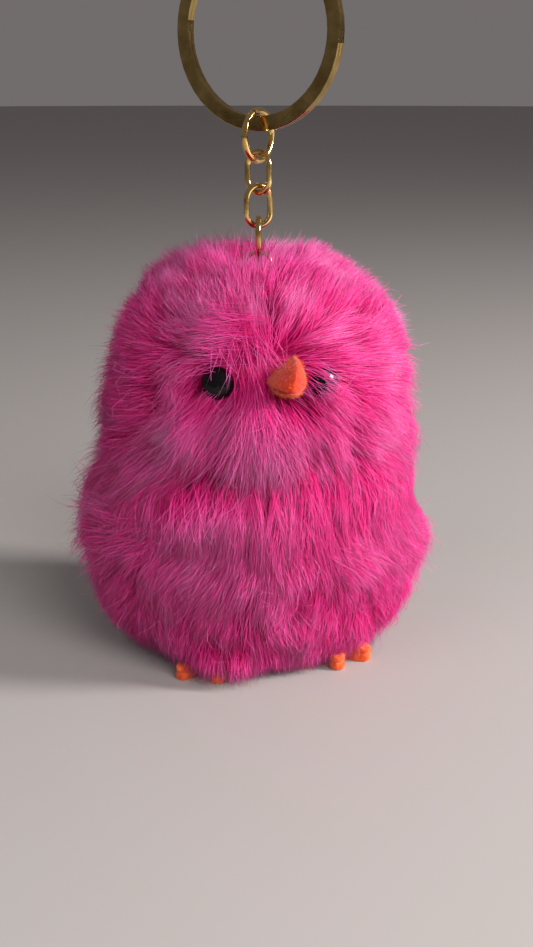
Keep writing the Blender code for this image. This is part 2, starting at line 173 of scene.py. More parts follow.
class Waves:
    """A smooth random value at each point, made of a few sine waves."""

    def __init__(self, wavelength, count=9):
        self.ways = unit(RANDOM.normal(size=(count, 3))) * math.tau / wavelength
        self.ways *= RANDOM.uniform(0.7, 1.4, size=(count, 1))
        self.starts = RANDOM.uniform(0, math.tau, size=count)

    def at(self, points):
        return np.sin(points @ self.ways.T + self.starts).sum(axis=-1) / math.sqrt(len(self.starts))


class Pile:
    """A turned outline: the middle of the pile over the head or over the body, between two heights."""

    def __init__(self, half_width, half_depth, half_height, centre, power, low, high):
        self.depth_share = half_depth / half_width
        turns = np.linspace(-math.pi / 2, math.pi / 2, 1200)
        radius = half_width * np.abs(np.cos(turns)) ** (2 / power)
        height = centre + half_height * np.sign(turns) * np.abs(np.sin(turns)) ** (2 / power)
        keep = (height >= low) & (height <= high)
        self.radius, self.height = radius[keep], height[keep]
        self.radius -= NECK_CREASE * near(self.height, NECK_Z, NECK_CREASE_SPREAD)
        step = np.hypot(np.diff(self.radius), np.diff(self.height))
        area = np.concatenate([[0], np.cumsum(step * (self.radius[1:] + self.radius[:-1]))])
        self.share = area / area[-1]

    def points(self, shares, turns):
        """Points and outward normals, at shares of the area from the bottom and turns from the front."""
        radius = np.interp(shares, self.share, self.radius)
        height = np.interp(shares, self.share, self.height)
        ahead = np.minimum(shares + 0.004, 1.0)
        behind = np.maximum(shares - 0.004, 0.0)
        run = np.interp(ahead, self.share, self.radius) - np.interp(behind, self.share, self.radius)
        rise = np.interp(ahead, self.share, self.height) - np.interp(behind, self.share, self.height)
        side, front = np.sin(turns), -np.cos(turns)
        places = np.stack([radius * side, radius * front * self.depth_share, height], axis=-1)
        normals = np.stack([rise * side, rise * front / self.depth_share, -run], axis=-1)
        return places, unit(normals)


def box_of(name):
    low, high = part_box(name)
    return np.array(low), np.array(high)


HEAD_LOW, HEAD_HIGH = box_of("head_front_panel")
BODY_LOW, BODY_HIGH = box_of("body_front_panel")
NECK_Z = (HEAD_LOW[2] + BODY_HIGH[2]) / 2
BEAK_LOW, BEAK_HIGH = box_of("beak_upper")
BEAK_MIDDLE = (BEAK_LOW + BEAK_HIGH) / 2
HEAD_CENTRE_Z = NECK_Z + HEAD_ABOVE_NECK
CROWN_Z = HEAD_HIGH[2] + 0.2 * MM
DEPTH_SHARE = -BODY_LOW[1] / BODY_HIGH[0]


# ---------------------------------------------------------------- materials


def shader_of(name, roughness, metallic=0.0, sheen=0.0):
    """A new material and its node tree's shader, with the numbers that are the same all over."""
    look = bpy.data.materials.new(name)
    look.use_nodes = True
    shader = look.node_tree.nodes["Principled BSDF"]
    shader.inputs["Roughness"].default_value = roughness
    shader.inputs["Metallic"].default_value = metallic
    shader.inputs["Sheen Weight"].default_value = sheen
    return look, look.node_tree.nodes, look.node_tree.links, shader


def ramp(nodes, stops):
    made = nodes.new("ShaderNodeValToRGB")
    points = made.color_ramp.elements
    while len(points) < len(stops):
        points.new(0.5)
    for point, (place, colour) in zip(points, stops):
        point.position = place
        point.color = (*colour, 1.0)
    return made


def noise(nodes, links, scale, detail=3.0, stretch=None):
    """Noise in the object's own metres."""
    place = nodes.new("ShaderNodeTexCoord")
    made = nodes.new("ShaderNodeTexNoise")
    made.inputs["Scale"].default_value = scale
    made.inputs["Detail"].default_value = detail
    if stretch is None:
        links.new(place.outputs["Object"], made.inputs["Vector"])
        return made
    mapping = nodes.new("ShaderNodeMapping")
    mapping.inputs["Scale"].default_value = stretch
    links.new(place.outputs["Object"], mapping.inputs["Vector"])
    links.new(mapping.outputs["Vector"], made.inputs["Vector"])
    return made


def bump(nodes, links, shader, height, strength, distance):
    made = nodes.new("ShaderNodeBump")
    made.inputs["Strength"].default_value = strength
    made.inputs["Distance"].default_value = distance
    links.new(height, made.inputs["Height"])
    links.new(made.outputs["Normal"], shader.inputs["Normal"])


def hair_look(name, deep, pale, through, roughness=0.6):
    """Colour runs along each hair, from deep hairs in the UV map's first columns to pale ones in its last.

    through is the share of the light that passes through the fibres.
    """
    look, nodes, links, shader = shader_of(name, roughness)
    shader.inputs["Specular IOR Level"].default_value = 0.15
    uv = nodes.new("ShaderNodeUVMap")
    uv.uv_map = "OFBake"
    split = nodes.new("ShaderNodeSeparateXYZ")
    links.new(uv.outputs["UV"], split.inputs["Vector"])
    mix = nodes.new("ShaderNodeMix")
    mix.data_type = "RGBA"
    links.new(split.outputs["X"], mix.inputs["Factor"])
    # Along each hair the colour runs from darker at the root, painted shade deep in the pile, to paler at
    # the tip, painted highlight.
    for colours, socket in ((deep, "A"), (pale, "B")):
        along = ramp(nodes, tuple(zip((0.0, 0.4, 0.75, 1.0), colours)))
        links.new(split.outputs["Y"], along.inputs["Fac"])
        links.new(along.outputs["Color"], mix.inputs[socket])
    links.new(mix.outputs["Result"], shader.inputs["Base Color"])
    glow = nodes.new("ShaderNodeBsdfTranslucent")
    links.new(mix.outputs["Result"], glow.inputs["Color"])
    both = nodes.new("ShaderNodeMixShader")
    both.inputs["Fac"].default_value = through
    links.new(shader.outputs["BSDF"], both.inputs[1])
    links.new(glow.outputs["BSDF"], both.inputs[2])
    links.new(both.outputs["Shader"], nodes["Material Output"].inputs["Surface"])
    return look


def cloth_look(name, dark, light, scale, sheen=0.3, depth=0.1 * MM):
    """Fibrous cloth: uneven colour and a fine raised nap."""
    look, nodes, links, shader = shader_of(name, 0.92, sheen=sheen)
    nap = noise(nodes, links, scale, 5.0)
    colours = ramp(nodes, ((0.3, dark), (0.7, light)))
    links.new(nap.outputs["Fac"], colours.inputs["Fac"])
    links.new(colours.outputs["Color"], shader.inputs["Base Color"])
    bump(nodes, links, shader, nap.outputs["Fac"], 0.6, depth)
    return look


def brass_look(name, dark, light):
    """Polished brass with faint cloudiness and hairline scratches."""
    look, nodes, links, shader = shader_of(name, 0.2, metallic=1.0)
    cloud = noise(nodes, links, 400.0, 3.0)
    colours = ramp(nodes, ((0.3, dark), (0.7, light)))
    links.new(cloud.outputs["Fac"], colours.inputs["Fac"])
    links.new(colours.outputs["Color"], shader.inputs["Base Color"])
    gloss = ramp(nodes, ((0.3, (0.10,) * 3), (0.8, (0.24,) * 3)))
    links.new(cloud.outputs["Fac"], gloss.inputs["Fac"])
    links.new(gloss.outputs["Color"], shader.inputs["Roughness"])
    lines = noise(nodes, links, 500.0, 2.0, stretch=(1.0, 1.0, 12.0))
    bump(nodes, links, shader, lines.outputs["Fac"], 0.12, 0.02 * MM)
    return look


def plastic_look(name, colour, roughness):
    """Moulded plastic, very slightly uneven."""
    look, nodes, links, shader = shader_of(name, roughness)
    cloud = noise(nodes, links, 900.0, 2.0)
    darker = tuple(0.7 * part for part in colour)
    colours = ramp(nodes, ((0.3, darker), (0.7, colour)))
    links.new(cloud.outputs["Fac"], colours.inputs["Fac"])
    links.new(colours.outputs["Color"], shader.inputs["Base Color"])
    shader.inputs["Specular IOR Level"].default_value = 0.25
    bump(nodes, links, shader, cloud.outputs["Fac"], 0.05, 0.02 * MM)
    return look


# ---------------------------------------------------------------- hairs

# The places of a hair's rings, from its root at 0 to its tip at 1
ALONG = np.linspace(0, 1, HAIR_RINGS)[None, :, None]
FUZZ_SUNK = 0.05 * MM


def arcs(way, bend, size):
    """Paths from the origin: each sets off along its way and curves off by its bend."""
    return size[:, None, None] * (way[:, None] * ALONG + bend[:, None] * ALONG**2)


def hair_mesh(name, paths, widths, paleness, look):
    """One mesh of tapered three-sided hairs. paths: (hairs, rings, 3), the last ring being the tip."""
    count, rings = paths.shape[:2]
    way = unit(paths[:, -1] - paths[:, 0])
    side = unit(np.cross(way, RANDOM.normal(size=way.shape)))
    other = np.cross(way, side)
    shares = np.linspace(0, 1, rings)
    taper = np.sqrt(1 - shares[:-1] ** 2)
    corners = []
    for turn in (0, math.tau / 3, 2 * math.tau / 3):
        out = side * math.cos(turn) + other * math.sin(turn)
        corners.append(paths[:, :-1] + out[:, None] * (widths[:, None] * taper / 2)[..., None])
    body_points = np.stack(corners, axis=2).reshape(count, 3 * (rings - 1), 3)
    points = np.concatenate([body_points, paths[:, -1:]], axis=1)

    loops, starts, across, along = [], [], [], []
    for ring in range(rings - 1):
        for corner in range(3):
            beside = (corner + 1) % 3
            starts.append(len(loops))
            low = (3 * ring + corner, 3 * ring + beside)
            if ring < rings - 2:
                loops += [*low, low[1] + 3, low[0] + 3]
                across += [0, 1, 1, 0]
                along += [shares[ring]] * 2 + [shares[ring + 1]] * 2
            else:
                loops += [*low, 3 * (rings - 1)]
                across += [0, 1, 0.5]
                along += [shares[ring]] * 2 + [1.0]
    per_hair = 3 * (rings - 1) + 1
    corners_of_hair = len(loops)
    hairs = np.arange(count)[:, None]
    columns = np.floor(np.clip(paleness, 0, 0.999) * COLOUR_COLUMNS)[:, None]
    mesh = bpy.data.meshes.new(name)
    mesh.vertices.add(count * per_hair)
    mesh.vertices.foreach_set("co", points.astype(np.float32).ravel())
    mesh.loops.add(count * corners_of_hair)
    corner_points = np.array(loops) + hairs * per_hair
    mesh.loops.foreach_set("vertex_index", corner_points.astype(np.int32).ravel())
    mesh.polygons.add(count * len(starts))
    face_starts = np.array(starts) + hairs * corners_of_hair
    mesh.polygons.foreach_set("loop_start", face_starts.astype(np.int32).ravel())
    uv = mesh.uv_layers.new(name="OFBake")
    across_all = (columns + 0.1 + 0.8 * np.array(across)) / COLOUR_COLUMNS
    along_all = np.broadcast_to(np.array(along), across_all.shape)
    uv.uv.foreach_set("vector", np.stack([across_all, along_all], axis=-1).astype(np.float32).ravel())
    mesh.update(calc_edges=True)
    mesh.shade_smooth()
    mesh.materials.append(look)
    piece = bpy.data.objects.new(name, mesh)
    bpy.context.collection.objects.link(piece)
    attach(piece, "plush")
    return piece


def surface_of(obj):
    """Triangle corners and smooth corner normals of an object's mesh, in world space."""
    mesh = obj.data
    mesh.calc_loop_triangles()
    places = np.empty(len(mesh.vertices) * 3, np.float32)
    mesh.vertices.foreach_get("co", places)
    normals = np.empty(len(mesh.vertices) * 3, np.float32)
    mesh.vertices.foreach_get("normal", normals)
    corners = np.empty(len(mesh.loop_triangles) * 3, np.int32)
    mesh.loop_triangles.foreach_get("vertices", corners)
    corners = corners.reshape(-1, 3)
    return places.reshape(-1, 3)[corners].astype(float), normals.reshape(-1, 3)[corners].astype(float)


def scatter(obj, count):
    """Random places on an object, evenly by area, with their normals."""
    places, normals = surface_of(obj)
    area = np.linalg.norm(np.cross(places[:, 1] - places[:, 0], places[:, 2] - places[:, 0]), axis=1)
    chosen = RANDOM.choice(len(area), size=count, p=area / area.sum())
    mix = RANDOM.dirichlet((1, 1, 1), size=count)[..., None]
    return (places[chosen] * mix).sum(axis=1), unit((normals[chosen] * mix).sum(axis=1))


def fuzz(name, obj, count, length, width, look, lowest=None):
    """Loose short fibres that stand off a felt piece."""
    roots, normals = scatter(obj, count)
    along = unit(along_surface(RANDOM.normal(size=roots.shape), normals))
    reach = length * RANDOM.uniform(0.4, 1.0, size=(count, 1))
    rise = RANDOM.uniform(0.15, 0.9, size=(count, 1))
    curl = unit(along_surface(RANDOM.normal(size=roots.shape), normals)) * reach * 0.5
    out = normals * rise + along * (1 - rise)
    paths = roots[:, None] - normals[:, None] * FUZZ_SUNK
    paths = paths + (out * reach)[:, None] * ALONG + curl[:, None] * ALONG**2
    if lowest is not None:
        paths[..., 2] = np.maximum(paths[..., 2], lowest)
    widths = width * RANDOM.uniform(0.7, 1.2, size=count)
    return hair_mesh(name, paths, widths, RANDOM.uniform(size=count), look)


# ---------------------------------------------------------------- fur

EYE_SPACING = 17.3 * MM
EYE_OFFSET = -0.65 * MM
EYE_Z = HEAD_CENTRE_Z + 10.5 * MM
RIGHT_EYE_X = EYE_OFFSET - EYE_SPACING / 2
LEFT_EYE_X = EYE_OFFSET + EYE_SPACING / 2

# The places that the hairs run away from
FACE = np.array([-2.0 * MM, -21.5 * MM, EYE_Z + 3.0 * MM])
CHEST = np.array([0.0, -19.0 * MM, NECK_Z + 12.0 * MM])
BACK = np.array([0.0, 19.0 * MM, NECK_Z + 16.0 * MM])

# Tufts that stand up (lift above 0) and partings that lie flat (below 0), on the front; tufts are painted
# paler, painted highlight, and partings darker, painted shade in the creases:
# x, height over the neck, half-width, half-height, lift
TUFTS = (
    (-3.5 * MM, 17.0 * MM, 2.6 * MM, 3.6 * MM, 0.8),
    (-1.5 * MM, 10.0 * MM, 4.6 * MM, 5.5 * MM, 0.9),
    (-12.5 * MM, 14.0 * MM, 3.5 * MM, 3.5 * MM, 0.9),
    (-17.0 * MM, 9.5 * MM, 3.5 * MM, 3.5 * MM, 0.7),
    (-10.0 * MM, 31.0 * MM, 5.5 * MM, 2.6 * MM, 0.8),
    (-3.5 * MM, 27.0 * MM, 2.5 * MM, 2.0 * MM, 0.6),
    (-8.0 * MM, 10.0 * MM, 1.8 * MM, 4.0 * MM, -1.0),
    (-10.0 * MM, 5.5 * MM, 8.0 * MM, 2.2 * MM, -1.0),
    (7.0 * MM, 4.0 * MM, 5.0 * MM, 3.0 * MM, -0.4),
    (-5.0 * MM, 0.5 * MM, 9.0 * MM, 3.0 * MM, 0.9),
    (6.5 * MM, -8.5 * MM, 3.0 * MM, 3.5 * MM, -0.9),
    (-1.0 * MM, -20.0 * MM, 2.0 * MM, 4.0 * MM, -0.9),
    (7.0 * MM, 27.0 * MM, 7.0 * MM, 6.0 * MM, -0.3),
)


def head_flow(points, normals):
    """On the face the hairs run away from between the eyes; further back they run down."""
    away = unit(points - FACE)
    behind = smooth(-6 * MM, 12 * MM, points[:, 1:2]) * smooth(CROWN_Z, CROWN_Z - 14 * MM, points[:, 2:3])
    down = np.array([0.0, 0.3, -1.0])
    return unit(along_surface(away * (1 - behind) + down * behind, normals))


def body_flow(points, normals):
    """The hairs fan out downwards from the chest and from the back of the neck."""
    behind = smooth(-12 * MM, 12 * MM, points[:, 1:2])
    away = unit(points - CHEST) * (1 - behind) + unit(points - BACK) * behind
    return unit(along_surface(away + np.array([0.0, 0.0, -0.4]), normals))


def lift_at(points):
    """How far tufts and partings raise or flatten the hairs."""
    lift = np.zeros(len(points))
    for x, rise, half_width, half_height, raised in TUFTS:
        lift += raised * near(points[:, 0], x, half_width) * near(points[:, 2], NECK_Z + rise, half_height)
    return lift * smooth(2 * MM, -8 * MM, points[:, 1])


# Where short hairs leave the eyes and the beak showing: x, z, radius, and the fade outside it
FACE_PARTS = (
    (RIGHT_EYE_X + 0.9 * MM, EYE_Z + 0.3 * MM, 2.0 * MM, 1.5 * MM),
    (LEFT_EYE_X - 0.1 * MM, EYE_Z + 0.9 * MM, 0.4 * MM, 0.8 * MM),
    (BEAK_MIDDLE[0], BEAK_MIDDLE[2] - 0.8 * MM, 1.5 * MM, 1.3 * MM),
)


def face_clear(points):
    """0 where an eye or the beak is, 1 away from them."""
    clear = np.ones(len(points))
    for x, z, radius, fade in FACE_PARTS:
        away = np.hypot(points[:, 0] - x, points[:, 2] - z)
        beside = smooth(radius, radius + fade, away)
        clear = np.minimum(clear, np.where(points[:, 1] > 0, 1.0, beside))
    return clear


def trimmed(paths):
    """Which hairs stay: the pile is trimmed where it would lie over the chick's right eye."""
    middles = (paths[:, 1:] + paths[:, :-1]) / 2
    x, y, z = np.moveaxis(np.concatenate([paths, middles], axis=1), -1, 0)
    away = np.hypot(x - RIGHT_EYE_X, z - EYE_Z - 0.3 * MM)
    over = (away < RANDOM.uniform(0.6, 1.85, size=(len(paths), 1)) * MM) & (y < 0)
    return ~over.any(axis=1) | (RANDOM.uniform(size=len(paths)) < 0.03)


# Where the tips reach further or less far: height, its spread, and the change on the chick's right and left
TIP_CHANGES = (
    (NECK_Z + 2.5 * MM, 3.4 * MM, 3.0 * MM, 0.0),
    (NECK_Z - 3.0 * MM, 4.5 * MM, 0.0, -5.0 * MM),
    (10.0 * MM, 6.0 * MM, 0.0, -3.0 * MM),
    (2.0 * MM, 3.0 * MM, 0.0, -2.2 * MM),
)
INWARD_STEPS = 5
INWARD_SHARE = 0.8
LEVEL_SHARE = 0.5
CORE_HEIGHTS = (18 * MM, 44 * MM)


def keep_in(paths, looseness):
    """Bends hairs inwards where they would stand out past the outline of the tips."""
    heights, radii = np.array(TIP_OUTLINE).T
    heights, radii = heights * CROWN_Z, radii * BODY_HIGH[0]
    for _ in range(INWARD_STEPS):
        z = paths[..., 2]
        middle = LEAN_TO_RIGHT * near(z, NECK_Z - 5 * MM, 10 * MM)
        middle = middle + 2.0 * LEAN_TO_RIGHT * smooth(CROWN_Z - 6 * MM, CROWN_Z + 4 * MM, z)
        x, y = paths[..., 0] - middle, paths[..., 1]
        limit = np.interp(z, heights, radii)
        on_left = smooth(-4 * MM, 10 * MM, x)
        for height, spread, right, left in TIP_CHANGES:
            limit += near(z, height, spread) * (right * (1 - on_left) + left * on_left)
        limit *= looseness[:, None]
        past = np.maximum(0.0, 1 - limit / np.maximum(np.hypot(x, y / DEPTH_SHARE), 1e-6))
        paths[..., 0] = middle + x * (1 - INWARD_SHARE * past)
        paths[..., 1] = y * (1 - INWARD_SHARE * past)
        paths[..., 2] = z + (np.clip(z, *CORE_HEIGHTS) - z) * LEVEL_SHARE * past


def crown_parting(points):
    """1 in front of the chain on the top of the head, where the pile lies flat, and 0 away from it."""
    away = (points[:, 0] / (5.0 * MM)) ** 2 + ((points[:, 1] + 4 * MM) / (6.5 * MM)) ** 2
    return np.exp(-(away**1.5)) * smooth(CROWN_Z - 10 * MM, CROWN_Z - 5 * MM, points[:, 2])


def guides(pile, flow, count):
    """Roots, normals, combed directions, lean and length of hairs at random places of a pile."""
    shares = RANDOM.uniform(0, 1, size=count)
    turns = RANDOM.uniform(-math.pi, math.pi, size=count)
    surface, normals = pile.points(shares, turns)
    combed = flow(surface, normals)
    combed = unit(combed + np.cross(normals, combed) * 0.5 * WIDE.at(surface)[:, None])
    z = surface[:, 2]
    low = smooth(12 * MM, 2 * MM, z)
    over_neck = near(z, NECK_Z, 6 * MM) * (z > NECK_Z)
    under_neck = near(z, NECK_Z, 4 * MM) * (z <= NECK_Z)
    lift = lift_at(surface)
    face = smooth(2 * MM, -16 * MM, surface[:, 1])
    shoulder = near(z, NECK_Z + 1 * MM, 4.5 * MM) * smooth(-8 * MM, -17 * MM, surface[:, 0])
    crown = smooth(CROWN_Z - 15 * MM, CROWN_Z - 5 * MM, z)
    lean = LEAN + LEAN_ON_FACE * face + LEAN_UNEVEN * MIDDLE.at(surface)
    lean -= LEAN_LESS_IN_TUFTS * lift + LEAN_LESS_ON_CROWN * crown
    lean *= 1 - LEAN_SHARE_LOST_LOW * low
    lean += (LEAN_UNDER_NECK * under_neck + LEAN_OVER_NECK * over_neck) * (1 - shoulder)
    lean -= LEAN_LESS_ON_SHOULDER * shoulder
    parted = crown_parting(surface)
    outwards = unit(along_surface(surface * np.array([0.6, 1.0, 0.0]), normals))
    combed = unit(combed * (1 - parted[:, None]) + outwards * parted[:, None])
    lean = np.clip(lean * (1 - parted) + LEAN_FLAT * parted, LEAN_LEAST, LEAN_FLAT)
    uneven = 1 + LENGTH_UNEVEN * MIDDLE.at(surface + LENGTH_SHIFT) + LONGER_IN_TUFTS * lift
    standing = (ROOT_DEPTH + HAIR_STAND) / np.cos(np.minimum(lean, 1.2))
    length = np.minimum(HAIR_LENGTH, standing) * uneven
    length *= (1 + LONGER_OVER_NECK * over_neck) * (1 - SHORTER_PARTED * parted)
    length *= 1 + LONGER_ON_SHOULDER * shoulder + LONGER_ON_CROWN * crown * (1 - parted)
    return surface, normals, combed, lift, lean, length


def grow(pile, flow, clumps, hairs, tufts, crown):
    """Paths, widths and paleness of all the hairs on one pile.

    Hairs gather into clumps and the clumps lean into tufts.
    """
    surface, normals, combed, lift, lean, length = guides(pile, flow, clumps)
    clear = face_clear(surface)
    lean = np.clip(lean + 0.35 * (1 - clear), LEAN_LEAST, 1.3)
    length *= RANDOM.uniform(0.88, 1.10, size=clumps) * (SHORTEST_ON_FACE + (1 - SHORTEST_ON_FACE) * clear)

    middle, up, along, _, slope, far = guides(pile, flow, tufts)
    slope = np.clip(slope + RANDOM.normal(size=tufts) * 0.28, 0.1, 1.25)
    way = up * np.cos(slope)[:, None] + along * np.sin(slope)[:, None]
    way = way + RANDOM.normal(size=(tufts, 3)) * 0.18
    ends = middle - up * ROOT_DEPTH + unit(way) * far[:, None] * 1.05
    nearest = np.empty(clumps, int)
    for start in range(0, clumps, 500):
        part = slice(start, start + 500)
        away = np.linalg.norm(surface[part, None] - middle[None], axis=-1)
        nearest[part] = away.argmin(axis=1)
    pull = RANDOM.uniform(*TUFT_PULLS, size=clumps) * clear * (1 - crown_parting(surface))

    def every(values):
        return np.repeat(values, hairs, axis=0)

    count = clumps * hairs
    under = RANDOM.uniform(size=count) < UNDER_SHARE
    normal, comb = every(normals), every(combed)
    angle = RANDOM.uniform(0, math.tau, size=(count, 1))
    out = CLUMP_SPREAD * 1.4 * np.sqrt(RANDOM.uniform(0, 1, size=(count, 1)))
    offset = (comb * np.cos(angle) + np.cross(normal, comb) * np.sin(angle)) * out
    gather = every(RANDOM.uniform(0.0, GATHER_MOST, size=clumps))
    gather = np.where(under, -UNDER_SPREAD, gather)[:, None]
    near_neck = every(near(surface[:, 2], NECK_Z + 2 * MM, 6 * MM))
    size = every(length) * RANDOM.uniform(0.68, 1.08, size=count) * np.where(under, UNDER_LENGTH, 1.0)
    size *= 1 + near_neck * RANDOM.uniform(-0.3, 0.3, size=count)
    tilt = every(lean)[:, None] + RANDOM.normal(size=(count, 1)) * 0.13
    frizz = RANDOM.normal(size=(count, 3)) * np.where(under, UNDER_FRIZZ, FRIZZ)[:, None]
    way = unit(normal * np.cos(tilt) + comb * np.sin(tilt) + frizz)
    bend = comb * 0.20 + RANDOM.normal(size=(count, 3)) * 0.09 + np.array([0, 0, -0.09])
    roots = every(surface) - normal * ROOT_DEPTH
    paths = roots[:, None] + offset[:, None] * (1 - gather[:, None] * ALONG)
    paths = paths + arcs(way, bend, size)
    drawn = every(ends[nearest])[:, None] - paths[:, -1:]
    drawn = drawn * (size / every(length))[:, None, None] * every(pull)[:, None, None]
    paths = paths + drawn * ALONG**1.6
    loose = 0.975 + 0.025 * MIDDLE.at(surface + LOOSE_SHIFT) + 0.03 * SMALL.at(surface)
    keep_in(paths, np.clip(every(loose) + RANDOM.normal(size=count) * 0.045, 0.85, 1.12))
    lowest = RANDOM.uniform(0.1, 0.6, size=(count, 1)) * MM
    paths[..., 2] = np.maximum(paths[..., 2], lowest)

    widths = HAIR_WIDTH * RANDOM.uniform(0.7, 1.15, size=count)
    # Raised tufts are painted paler and flat partings darker: painted highlight and painted shade
    tone = TONE + TONE_UNEVEN * MIDDLE.at(surface + TONE_SHIFT) + TONE_PAINTED_ON_TUFTS * lift
    tone = tone + RANDOM.normal(size=clumps) * 0.06
    # Under hairs are darker: painted shade
    paleness = every(tone) + RANDOM.normal(size=count) * 0.20 - UNDER_PAINTED_SHADE * under
    blocked = face_clear(roots) <= 0
    if crown:
        blocked |= np.hypot(roots[:, 0], roots[:, 1]) < CHAIN_CLEAR
    return paths[~blocked], widths[~blocked], paleness[~blocked]


def strays(pile, flow, count):
    """Thin pale hairs that have come loose from the combed pile."""
    surface, normals, combed, _, _, _ = guides(pile, flow, count)
    tilt = RANDOM.uniform(0.1, 1.2, size=(count, 1))
    loose = RANDOM.normal(size=(count, 3))
    way = unit(normals * np.cos(tilt) + combed * np.sin(tilt) + loose * 0.45)
    size = HAIR_LENGTH * (0.9 + 0.6 * RANDOM.uniform(size=count) ** 2)
    aside = unit(along_surface(RANDOM.normal(size=(count, 3)), way))
    bend = aside * RANDOM.uniform(0.1, 0.5, size=(count, 1))
    paths = (surface - normals * ROOT_DEPTH)[:, None] + arcs(way, bend, size)
    keep_in(paths, 1.0 + 0.22 * RANDOM.uniform(size=count) ** 2)
    paths[..., 2] = np.maximum(paths[..., 2], 0.2 * MM)
    keep = face_clear(surface) > 0.5
    # The loose hairs are pale: painted highlight on single strands.
    return paths[keep], np.full(keep.sum(), STRAY_WIDTH), RANDOM.uniform(0.7, 1.0, size=keep.sum())


# Locks of pale single hairs: where their roots are, how widely these are spread, the fan of their turns from
# straight down, how far forward they point, their least and greatest length, and how many there are
LOCKS = (
    # From the brow down between the eyes
    (
        (-4.5 * MM, -19.0 * MM, EYE_Z + 7.5 * MM), (2.0 * MM, 0.3 * MM, 1.2 * MM), (-0.45, 0.95), 0.45,
        (5.0 * MM, 12.0 * MM), 75,
    ),
    # From beside the beak out under the chick's left eye
    (
        (5.0 * MM, -20.2 * MM, EYE_Z + 1.0 * MM), (0.7 * MM, 0.3 * MM, 1.2 * MM), (0.8, 1.4), 0.35,
        (3.5 * MM, 6.0 * MM), 170,
    ),
    # From the beak down over the chest
    (
        (-3.3 * MM, -20.8 * MM, EYE_Z - 1.5 * MM), (1.1 * MM, 0.4 * MM, 1.4 * MM), (-0.30, 0.42), 0.42,
        (9.0 * MM, 17.0 * MM), 620,
    ),
    # Down the chick's right cheek
    (
        (-9.8 * MM, -19.6 * MM, EYE_Z - 4.5 * MM), (1.6 * MM, 0.4 * MM, 1.2 * MM), (-1.15, -0.35), 0.45,
        (7.0 * MM, 11.5 * MM), 420,
    ),
    # Across the forehead to the chick's right
    (
        (-5.5 * MM, -18.6 * MM, EYE_Z + 7.0 * MM), (1.8 * MM, 0.4 * MM, 1.8 * MM), (-2.0, -1.5), 0.30,
        (6.0 * MM, 10.0 * MM), 420,
    ),
    # Over the front of the neck
    (
        (-6.0 * MM, -22.5 * MM, NECK_Z + 4.0 * MM), (4.5 * MM, 0.5 * MM, 0.9 * MM), (-0.75, 0.35), 0.60,
        (6.0 * MM, 10.0 * MM), 700,
    ),
)


def lock(start, spread, fan, forward, sizes, count):
    """Paths, widths and paleness of the hairs of one lock."""
    roots = np.array(start) + RANDOM.normal(size=(count, 3)) * np.array(spread)
    turn = RANDOM.uniform(*fan, size=count)
    way = np.stack([np.sin(turn), np.full(count, -forward), -np.cos(turn)], axis=-1)
    size = RANDOM.uniform(*sizes, size=count)
    bend = RANDOM.normal(size=(count, 3)) * LOCK_FRIZZ + LOCK_DROOP
    paths = roots[:, None] + arcs(unit(way), bend, size)
    keep_in(paths, RANDOM.uniform(0.97, 1.06, size=count))
    # The locks are pale: painted highlight on single strands.
    return paths, np.full(count, STRAY_WIDTH), RANDOM.uniform(0.65, 1.0, size=count)


def around(radius, turn, height):
    """Points at turns from the front of the plush, as wide and as deep as its body."""
    return np.stack([radius * np.sin(turn), -radius * np.cos(turn) * DEPTH_SHARE, height], axis=-1)


def hanging(roots, elbows, tips, clumps, hairs, tone):
    """Hairs curved from roots past elbows to tips. Each clump has a paleness of its own, near the tone."""
    paths = roots[:, None] * (1 - ALONG) ** 2 + tips[:, None] * ALONG**2
    paths = paths + elbows[:, None] * 2 * ALONG * (1 - ALONG)
    count = clumps * hairs
    paleness = np.repeat(RANDOM.normal(tone, 0.08, size=clumps), hairs)
    paleness = paleness + RANDOM.normal(size=count) * 0.18
    return paths, HAIR_WIDTH * RANDOM.uniform(0.7, 1.15, size=count), paleness


def fringe(clumps, hairs):
    """The lowest hairs, which hang from under the body over the feet to the table."""
    turns = RANDOM.uniform(-FRINGE_TURN, FRINGE_TURN, size=clumps)
    over_foot, between_feet = near(turns, -0.37, 0.31), near(turns, -0.02, 0.09)
    reach = FRINGE_REACH + FRINGE_OVER_FOOT * over_foot + FRINGE_BETWEEN_FEET * between_feet
    reach = np.repeat(reach * RANDOM.uniform(0.93, 1.03, size=clumps), hairs)
    count = clumps * hairs
    jitter = RANDOM.normal(size=(3, count)) * 0.8 * MM
    turn = np.repeat(turns, hairs)
    rise = np.repeat(RANDOM.uniform(5.0, 10.0, size=clumps) * MM, hairs)
    start = reach - np.repeat(RANDOM.uniform(1.0, 4.5, size=clumps) * MM, hairs)
    roots = around(start + jitter[0], turn + jitter[1] / (16 * MM), rise + jitter[2])
    tip_turn = turn + RANDOM.normal(size=count) * 0.035
    far = reach * RANDOM.uniform(0.93, 1.03, size=count)
    tips = around(far, tip_turn, RANDOM.uniform(0.1, 2.2, size=count) ** 1.3 * MM)
    elbows = around(far * 0.99, (turn + tip_turn) / 2, rise * 0.7)
    return hanging(roots, elbows, tips, clumps, hairs, FRINGE_TONE)


